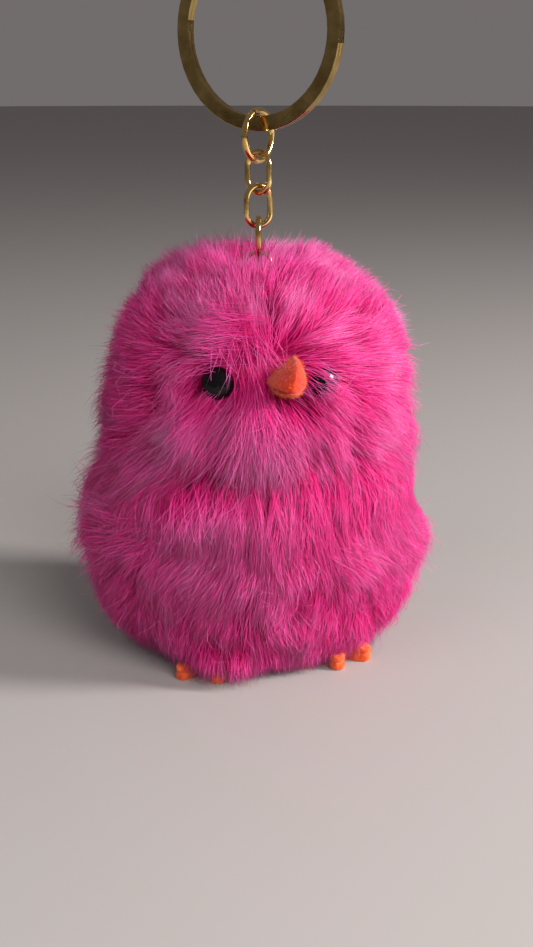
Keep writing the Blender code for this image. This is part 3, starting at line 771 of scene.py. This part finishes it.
def drape(head, body, clumps, hairs):
    """The longest hairs of the head, which lie over the neck and down the top of the body."""
    turns = RANDOM.uniform(-math.pi, math.pi, size=clumps)
    high = NECK_Z + RANDOM.uniform(1.0, 10.0, size=clumps) * MM
    parting = np.maximum(0, -lift_at(around(24 * MM, turns, high - 3 * MM)))
    sparse = np.maximum(0.85 * near(turns, -1.5, 0.6), np.minimum(1.0, 1.6 * parting))
    stay = RANDOM.uniform(size=clumps) > sparse
    turns, high = turns[stay], high[stay]
    clumps = len(turns)
    count = clumps * hairs
    top = np.repeat(high, hairs)
    drop = np.repeat(RANDOM.uniform(9.0, 17.0, size=clumps), hairs)
    drop = drop * RANDOM.uniform(0.75, 1.1, size=count) * MM
    turn = np.repeat(turns, hairs)
    jitter = RANDOM.normal(size=(2, count)) * 0.9 * MM
    inside = np.interp(top, head.height, head.radius) - 3.5 * MM
    roots = around(inside, turn + jitter[0] / (20 * MM), top + jitter[1])
    tip_turn = turn * 1.05 + np.repeat(RANDOM.normal(size=clumps) * 0.10, hairs)
    tip_turn = tip_turn + RANDOM.normal(size=count) * 0.03
    low = top - drop
    standing = np.repeat(RANDOM.uniform(0.6, 2.4, size=clumps), hairs) + RANDOM.normal(size=count) * 0.35
    outside = np.interp(low, body.height, body.radius) + standing * MM
    outside -= 1.6 * MM * smooth(0.3, 1.2, turn) * smooth(14 * MM, 22 * MM, low)
    tips = around(np.where(low > NECK_Z, 25.5 * MM, outside), tip_turn, low)
    knee = np.maximum(outside * 0.6 + inside * 0.4, 24.5 * MM) + standing * 0.8 * MM
    elbows = around(knee, (turn + tip_turn) / 2, (top + low) / 2 + 1.0 * MM)
    paths, widths, paleness = hanging(roots, elbows, tips, clumps, hairs, DRAPE_TONE)
    keep_in(paths, RANDOM.uniform(0.96, 1.06, size=count))
    # Tips over raised tufts are painted paler and over partings darker: painted highlight and painted shade
    return paths, widths, paleness + 0.4 * lift_at(paths[:, -1])


def fur(part, pile, flow, clumps, tufts, look, extra=()):
    """The pile of one part, as one piece for each tenth of a turn, from the front round by the left."""
    thin = 1
    grown = [grow(pile, flow, clumps, HAIRS_IN_CLUMP // thin, tufts, part == "head"), *extra]
    paths, widths, paleness = (np.concatenate(values) for values in zip(*grown))
    stay = trimmed(paths)
    paths, widths, paleness = paths[stay], widths[stay], paleness[stay]
    step = math.tau / SECTORS
    turn = np.arctan2(paths[:, 0, 0], -paths[:, 0, 1]) + step / 2
    sector = np.floor((turn % math.tau) / step).astype(int)
    for number in range(SECTORS):
        mine = sector == number
        name = f"fur_{part}_{number + 1:02d}"
        piece = hair_mesh(name, paths[mine], widths[mine] * thin**0.5, paleness[mine], look)
        side = "front" if math.cos(number * step) > 0 else "back"
        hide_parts(f"{part}_{side}_panel")


BACKING_RINGS = 60
BACKING_CORNERS = 96
BACKING_OVER_ROOTS = 0.5 * MM
BACKING_LOWEST = 0.6 * MM
BACKING_GAP = 0.05 * MM
SEWN_RADIUS = 5.5 * MM
SEWN_DEPTH = 3.2 * MM


def backing(part, pile, look):
    """The cloth that the pile grows from, closed over the filling and drawn in where the cord is sewn."""
    shares = np.repeat(np.linspace(0, 1, BACKING_RINGS), BACKING_CORNERS)
    turns = np.tile(np.arange(BACKING_CORNERS) * math.tau / BACKING_CORNERS, BACKING_RINGS)
    places, normals = pile.points(shares, turns)
    places = places - normals * (ROOT_DEPTH - BACKING_OVER_ROOTS)
    places[:, 2] = np.maximum(places[:, 2], BACKING_LOWEST)
    off_centre = np.hypot(places[:, 0], places[:, 1]) / SEWN_RADIUS
    places[:, 2] -= SEWN_DEPTH * np.exp(-(off_centre**4)) * (places[:, 2] > HEAD_CENTRE_Z)
    if part == "head":
        places[:BACKING_CORNERS, 2] = NECK_Z + BACKING_GAP
    else:
        places[-BACKING_CORNERS:, 2] = NECK_Z - BACKING_GAP
    bm = grid_form(places.reshape(BACKING_RINGS, BACKING_CORNERS, 3))
    piece = mesh_piece(f"{part}_backing", bm, look)


# ---------------------------------------------------------------- metal

RING_WIRE = 0.6 * MM
LINK_WIRE = 0.95 * MM
LINK_WIDTH = 5.1 * MM
CONNECTOR_WIRE = 1.1 * MM
CONNECTOR_SLIT = 0.3 * MM
CONNECTOR_SLIT_TURN = 24.0
LOOP_WIDTH = 3.5 * MM
LOOP_CORD = 0.9 * MM
FACINGS = {
    "hang_loop": 83.0,
    "plush_ring": -7.0,
    "chain_link_3": 83.0,
    "chain_link_2": 20.0,
    "chain_link_1": -43.0,
    "connector_ring": 49.0,
}


def loop_path(height, width, count=96):
    """A closed loop with straight sides, or a circle where the height and the width are the same."""
    radius = width / 2
    rise = height / 2 - radius
    points = []
    for step in range(count):
        turn = math.tau * (step + 0.5) / count
        lift = math.copysign(rise, math.sin(turn))
        points.append((radius * math.cos(turn), 0, radius * math.sin(turn) + lift))
    return points


def connector_path(size):
    """A round jump ring, open by a narrow slit a little to one side of its top."""
    radius = (size - CONNECTOR_WIRE) / 2
    slit = CONNECTOR_SLIT / radius
    start = math.pi / 2 + math.radians(CONNECTOR_SLIT_TURN) + slit / 2
    count = 110
    turns = [start + (math.tau - slit) * step / count for step in range(count + 1)]
    return [(radius * math.cos(turn), 0, radius * math.sin(turn)) for turn in turns]


def wire(node, points, thickness, look, body, cyclic=True):
    """A round wire in the place of a CAD node."""
    low, high = box_of(node)
    curve = bpy.data.curves.new(node + "_wire", "CURVE")
    curve.dimensions = "3D"
    curve.bevel_depth = thickness / 2
    curve.bevel_resolution = 8
    curve.use_fill_caps = not cyclic
    spline = curve.splines.new("POLY")
    spline.points.add(len(points) - 1)
    for spot, point in zip(spline.points, points):
        spot.co = (*point, 1)
    spline.use_cyclic_u = cyclic
    spline.use_smooth = True
    curve.materials.append(look)
    piece = bpy.data.objects.new(node + "_wire", curve)
    piece.location = (0, 0, (low[2] + high[2]) / 2)
    piece.rotation_euler.z = math.radians(FACINGS[node])
    bpy.context.collection.objects.link(piece)
    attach(piece, body)
    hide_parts(node)
    return piece


def chain(brass, cord):
    """The cord loop in the crown, and the rings and links from it up to the split ring."""

    def height(node):
        low, high = box_of(node)
        return high[2] - low[2]

    route = loop_path(height("hang_loop") - LOOP_CORD, LOOP_WIDTH - LOOP_CORD)
    wire("hang_loop", route, LOOP_CORD, cord, "plush")
    size = height("plush_ring") - RING_WIRE
    wire("plush_ring", loop_path(size, size), RING_WIRE, brass, "plush_ring")
    for number in (3, 2, 1):
        node = f"chain_link_{number}"
        route = loop_path(height(node) - LINK_WIRE, LINK_WIDTH - LINK_WIRE)
        wire(node, route, LINK_WIRE, brass, node)
    route = connector_path(height("connector_ring"))
    wire("connector_ring", route, CONNECTOR_WIRE, brass, "connector_ring", cyclic=False)


# ---------------------------------------------------------------- face and feet


def mesh_piece(name, bm, look, body="plush"):
    bmesh.ops.recalc_face_normals(bm, faces=bm.faces)
    mesh = bpy.data.meshes.new(name)
    bm.to_mesh(mesh)
    bm.free()
    mesh.shade_smooth()
    mesh.materials.append(look)
    piece = bpy.data.objects.new(name, mesh)
    bpy.context.collection.objects.link(piece)
    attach(piece, body)
    return piece


def grid_form(rows):
    """A closed form through rings of points; the first and last rings are closed by a face."""
    bm = bmesh.new()
    rings = [[bm.verts.new(tuple(point)) for point in row] for row in rows]
    for ring, following in zip(rings, rings[1:]):
        for number in range(len(ring)):
            beside = (number + 1) % len(ring)
            bm.faces.new((ring[number], ring[beside], following[beside], following[number]))
    bm.faces.new(rings[0])
    bm.faces.new(rings[-1])
    return bm


BEAK_RINGS = 25
BEAK_CORNERS = 40
BEAK_APEX_ASIDE = 0.34
BEAK_UPPER_POWER = 1.45
BEAK_LOWER_POWER = 0.8
BEAK_LIP = 0.4 * MM


def beak_piece(node, way, look):
    """A folded felt cone: pointed along its ridge, flat on the side that meets its fellow.

    way is 1 for the upper half and -1 for the lower one, which stands out a little in front.
    """
    low, high = box_of(node)
    half_width, height, length = (high[0] - low[0]) / 2, high[2] - low[2], high[1] - low[1]
    upper = way > 0
    if not upper:
        length += BEAK_LIP
    middle = (high[0] + low[0]) / 2
    flat = low[2] if upper else high[2]
    power = BEAK_UPPER_POWER if upper else BEAK_LOWER_POWER
    rows = []
    for step in range(BEAK_RINGS):
        share = math.sin(math.pi / 2 * step / (BEAK_RINGS - 0.4))
        size = (1 - share**2.3) ** (1 / 1.7)
        row = []
        for corner in range(BEAK_CORNERS):
            turn = math.tau * corner / BEAK_CORNERS
            across = math.copysign(abs(math.cos(turn)) ** power, math.cos(turn))
            rise = max(0.0, math.sin(turn)) ** power
            aside = BEAK_APEX_ASIDE * height * rise if upper else 0.0
            row.append((
                middle + (half_width * across + aside) * size,
                high[1] - length * share,
                flat + way * 0.95 * height * rise * size,
            ))
        rows.append(row)
    piece = mesh_piece(node + "_felt", grid_form(rows), look)
    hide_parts(node)
    return piece


# Where each foot's middle is, and how many degrees it turns out to the chick's left
FEET = {
    "left": (9.7 * MM, -9.5 * MM, 8.0),
    "right": (-9.1 * MM, -12.2 * MM, 1.0),
}
FOOT_HEEL = 3.2 * MM
FOOT_REACH = 8.4 * MM
TOE_SPREAD = 46.0
TOE_WIDTH = 15.0
FOOT_RINGS = 13
FOOT_CORNERS = 180
FELT_EDGE = 0.5 * MM
FELT_OVERLAP = 0.05 * MM
TOE_THINNER = 0.45


def foot_reach(angle):
    """How far a foot reaches at an angle in degrees from its middle toe."""
    away = [abs(angle - toe) / TOE_WIDTH for toe in (-TOE_SPREAD, 0, TOE_SPREAD)]
    lobes = sum(math.exp(-(share**3)) for share in away)
    return FOOT_HEEL + (FOOT_REACH - FOOT_HEEL) * min(1.0, lobes)


def foot_piece(side, layer, look):
    """One layer of thick felt with soft edges."""
    node = f"foot_{side}_{layer}"
    low, high = box_of(node)
    if layer == "upper":
        low[2] = box_of(f"foot_{side}_sole")[1][2] - FELT_OVERLAP
    thick = high[2] - low[2]
    x, y, turn = FEET[side]
    rows = []
    for step in range(FOOT_RINGS):
        share = math.pi * step / (FOOT_RINGS - 1)
        inset = FELT_EDGE * (1 - math.sin(share) ** 0.6)
        row = []
        for corner in range(FOOT_CORNERS):
            angle = 360.0 * corner / FOOT_CORNERS - 180
            heading = math.radians(angle + turn)
            reach = foot_reach(angle) - inset
            thinner = TOE_THINNER * float(smooth(0.65, 1.0, reach / FOOT_REACH))
            height = thick * (1 - thinner) if layer == "upper" else thick
            rise = low[2] + height * (1 - math.cos(share)) / 2
            row.append((x + reach * math.sin(heading), y - reach * math.cos(heading), rise))
        rows.append(row)
    bm = grid_form(rows)
    piece = mesh_piece(node + "_felt", bm, look)
    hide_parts(node)
    return piece


# ---------------------------------------------------------------- stage

LIT_HEIGHT = 45 * MM


def area_light(name, azimuth, elevation, distance, size, power, colour, mirrored=False):
    """A round lamp that faces the chick's head, at angles in degrees.

    Only a mirrored lamp shows in glossy things.
    """
    light = bpy.data.lights.new(name, "AREA")
    light.shape = "DISK"
    light.size = size
    light.energy = power
    light.color = colour
    a, e = math.radians(azimuth), math.radians(elevation)
    way = Vector((math.sin(a) * math.cos(e), -math.cos(a) * math.cos(e), math.sin(e)))
    obj = bpy.data.objects.new(name, light)
    obj.location = Vector((0, 0, LIT_HEIGHT)) + way * distance
    obj.rotation_mode = "QUATERNION"
    obj.rotation_quaternion = way.to_track_quat("Z", "Y")
    obj.visible_glossy = mirrored
    bpy.context.collection.objects.link(obj)


def stage():
    bm = bmesh.new()
    bmesh.ops.create_circle(bm, cap_ends=True, segments=128, radius=3.0)
    mesh = bpy.data.meshes.new("floor")
    bm.to_mesh(mesh)
    bm.free()
    floor = bpy.data.objects.new("floor", mesh)
    look, _, _, shader = shader_of("pale_floor", 0.55)
    shader.inputs["Base Color"].default_value = (0.36, 0.345, 0.335, 1)
    mesh.materials.append(look)
    bpy.context.collection.objects.link(floor)

    world = bpy.data.worlds.new("studio")
    bpy.context.scene.world = world
    world.use_nodes = True
    sky = world.node_tree.nodes["Background"]
    sky.inputs["Color"].default_value = (0.42, 0.38, 0.38, 1)
    sky.inputs["Strength"].default_value = 0.40
    area_light("key", VIEW_AZIMUTH + 77, 21, 0.6, 0.16, 6.8, (1.0, 0.95, 0.92), mirrored=True)
    area_light("front", VIEW_AZIMUTH + 26, 28, 0.7, 0.45, 4.9, (1.0, 0.96, 0.96))
    area_light("fill", VIEW_AZIMUTH - 40, 30, 0.7, 0.5, 1.1, (1.0, 0.96, 0.97))


def camera():
    a = math.radians(VIEW_AZIMUTH)
    data = bpy.data.cameras.new("camera")
    data.sensor_fit = "AUTO"
    data.angle = math.radians(VIEW_ANGLE)
    data.clip_start = 0.01
    data.clip_end = 20
    cam = bpy.data.objects.new("camera", data)
    cam.location = (math.sin(a) * VIEW_DISTANCE, -math.cos(a) * VIEW_DISTANCE, VIEW_HEIGHT)
    cam.rotation_euler = (math.radians(90 - VIEW_PITCH), 0, a - math.radians(VIEW_TURN))
    bpy.context.collection.objects.link(cam)
    bpy.context.scene.camera = cam


# ---------------------------------------------------------------- the whole

camera()
stage()
bpy.context.scene.view_settings.view_transform = "Standard"

# Pink fur: each hair darker at the root, painted shade deep in the pile, and paler at the tip, painted
# highlight.
pink = hair_look(
    "fur_pile",
    ((0.60, 0.003, 0.11), (0.86, 0.010, 0.27), (0.90, 0.038, 0.39), (0.91, 0.16, 0.54)),
    ((0.80, 0.02, 0.26), (0.90, 0.09, 0.48), (0.92, 0.28, 0.66), (0.95, 0.64, 0.87)),
    through=0.5,
)
# The backing cloth, also used on the base panel, is dark: painted shade deep under the pile.
shaded_backing_cloth = cloth_look("fur_backing_painted_shade", (0.26, 0.002, 0.05), (0.46, 0.006, 0.12), 1200.0)
# The beak's felt is the feet's felt made darker and redder: painted shade over the beak.
beak_felt_painted_shade = cloth_look(
    "beak_felt_painted_shade", (0.30, 0.007, 0.003), (0.60, 0.036, 0.007), 1500.0, sheen=0.2, depth=0.2 * MM
)
felt = cloth_look("felt", (0.44, 0.030, 0.005), (0.80, 0.130, 0.018), 1500.0, sheen=0.3, depth=0.2 * MM)
felt_fuzz = hair_look(
    "felt_fuzz",
    ((0.55, 0.06, 0.01), (0.70, 0.10, 0.015), (0.75, 0.12, 0.02), (0.80, 0.16, 0.03)),
    ((0.75, 0.12, 0.02), (0.88, 0.19, 0.04), (0.92, 0.27, 0.07), (0.95, 0.40, 0.14)),
    roughness=0.8, through=0.2,
)
brass = brass_look("brass", (0.66, 0.43, 0.14), (0.84, 0.61, 0.26))
# The split ring's brass is darker than the chain's: painted dark reflection on its flat faces.
dark_reflection_brass = brass_look("brass_painted_dark_reflection", (0.30, 0.20, 0.065), (0.50, 0.36, 0.14))
cord = cloth_look("cord", (0.45, 0.01, 0.12), (0.80, 0.05, 0.30), 2500.0)
black = plastic_look("eye_plastic", (0.003, 0.0025, 0.003), 0.16)
white = plastic_look("washer_plastic", (0.78, 0.78, 0.76), 0.4)
filling = cloth_look("filling", (0.72, 0.72, 0.70), (0.92, 0.92, 0.90), 700.0, depth=0.4 * MM)

WIDE = Waves(17 * MM)
MIDDLE = Waves(8 * MM)
SMALL = Waves(3.5 * MM)

head_size = (HEAD_HIGH - HEAD_LOW) / 2
body_size = (BODY_HIGH - BODY_LOW) / 2
head_pile = Pile(
    head_size[0], -HEAD_LOW[1], CROWN_Z - HEAD_CENTRE_Z, HEAD_CENTRE_Z, HEAD_POWER,
    NECK_Z, CROWN_Z + 1 * MM,
)
body_pile = Pile(
    body_size[0], -BODY_LOW[1], BODY_HALF_HEIGHT, BODY_HALF_HEIGHT - BODY_SETTLE, BODY_POWER,
    0.5 * MM, NECK_Z,
)
loose = strays(head_pile, head_flow, STRAYS // 2)
locks = [lock(*form) for form in LOCKS]
over_neck = drape(head_pile, body_pile, DRAPE_CLUMPS, DRAPE_HAIRS)
fur("head", head_pile, head_flow, CLUMPS_HEAD, TUFTS_HEAD, pink, (loose, over_neck, *locks))
loose = strays(body_pile, body_flow, STRAYS // 2)
over_feet = fringe(FRINGE_CLUMPS, FRINGE_HAIRS)
fur("body", body_pile, body_flow, CLUMPS_BODY, TUFTS_BODY, pink, (loose, over_feet))
backing("head", head_pile, shaded_backing_cloth)
backing("body", body_pile, shaded_backing_cloth)

chain(brass, cord)
for node, look in (
    ("split_ring", dark_reflection_brass), ("eye_left", black), ("eye_right", black),
    ("eye_washer_left", white), ("eye_washer_right", white),
    ("head_stuffing", filling), ("body_stuffing", filling), ("neck_thread", cord),
    ("base_panel", shaded_backing_cloth),
):
    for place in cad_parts[node].material_slots:
        place.material = look

FUZZ_LENGTH = 0.75 * MM
FUZZ_WIDTH = 0.05 * MM
for node, way in (("beak_upper", 1), ("beak_lower", -1)):
    piece = beak_piece(node, way, beak_felt_painted_shade)
    fuzz(node + "_fuzz", piece, 1100, FUZZ_LENGTH, FUZZ_WIDTH, felt_fuzz)
for side in ("right", "left"):
    for layer in ("sole", "upper"):
        piece = foot_piece(side, layer, felt)
        name = f"foot_{side}_{layer}_fuzz"
        fuzz(name, piece, 1500, FUZZ_LENGTH, FUZZ_WIDTH, felt_fuzz, 0.05 * MM)
